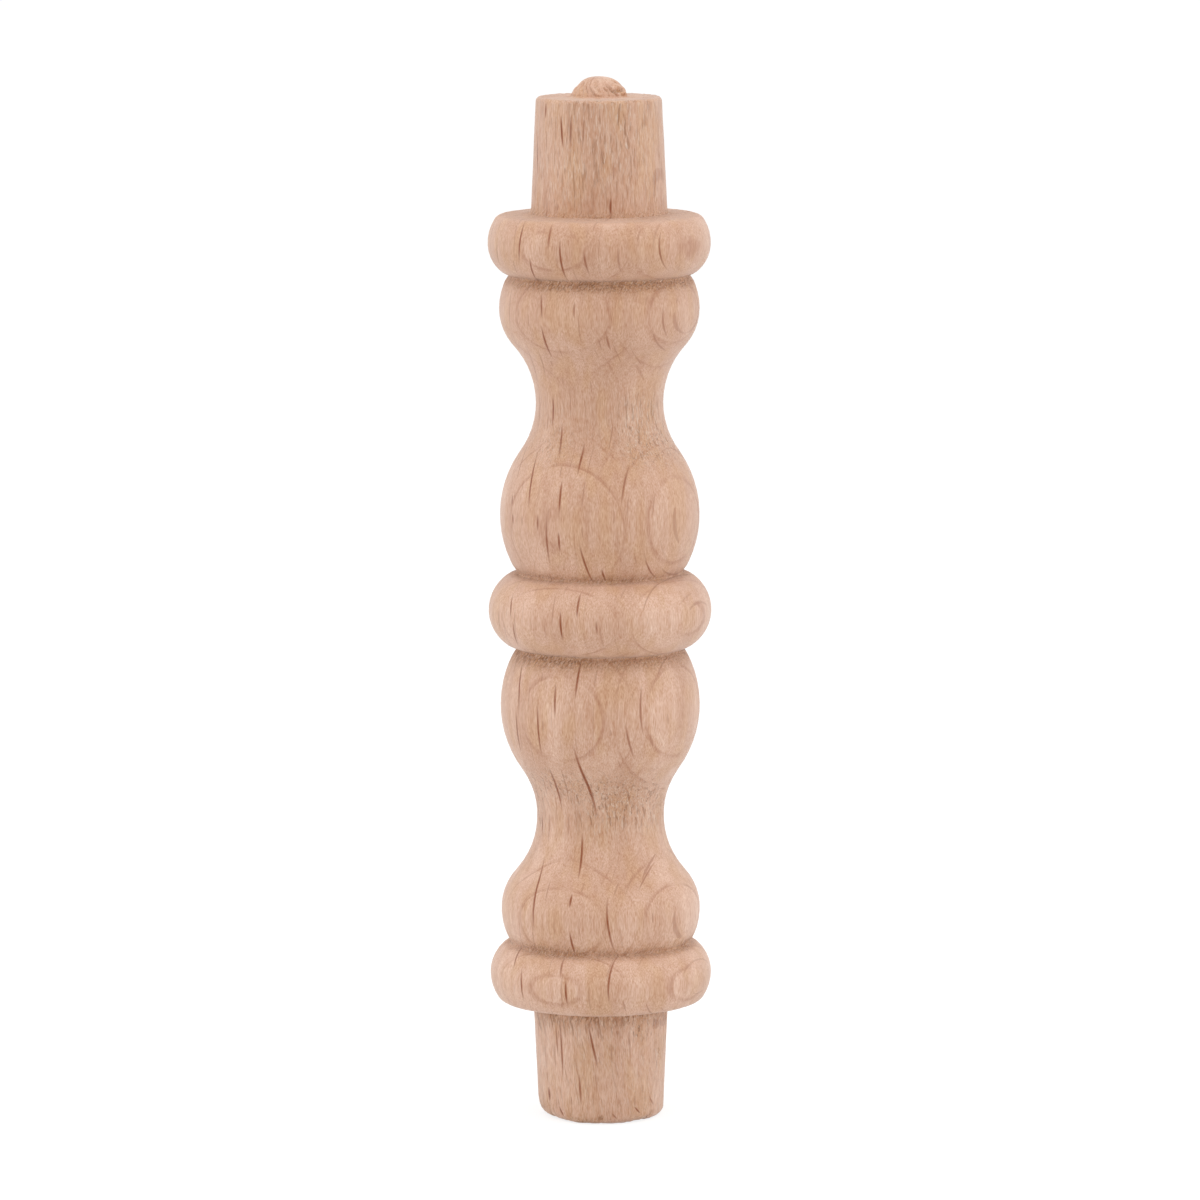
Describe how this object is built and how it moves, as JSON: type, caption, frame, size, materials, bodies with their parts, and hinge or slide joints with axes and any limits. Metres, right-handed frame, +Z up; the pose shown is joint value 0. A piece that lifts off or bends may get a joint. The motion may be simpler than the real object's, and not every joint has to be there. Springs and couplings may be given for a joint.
{
  "type": "turned baluster",
  "caption": "Small turned wooden baluster with beads, vases and balls along its axis, and tapered round tenons at the ends that drive into drilled rails.",
  "frame": {"origin": "centre of the lower tenon's end face, on the turning axis", "axes": "+Z up the turning axis towards the cut-off stub, +X to the right and +Y away from the viewer of the picture"},
  "size_m": [0.02, 0.02, 0.0937],
  "materials": {
    "beech": "bare turned beech, straight from the lathe, with fine fibres and ray flecks"
  },
  "bodies": {
    "root": {"turned_baluster": "beech"}
  },
  "joints": []
}
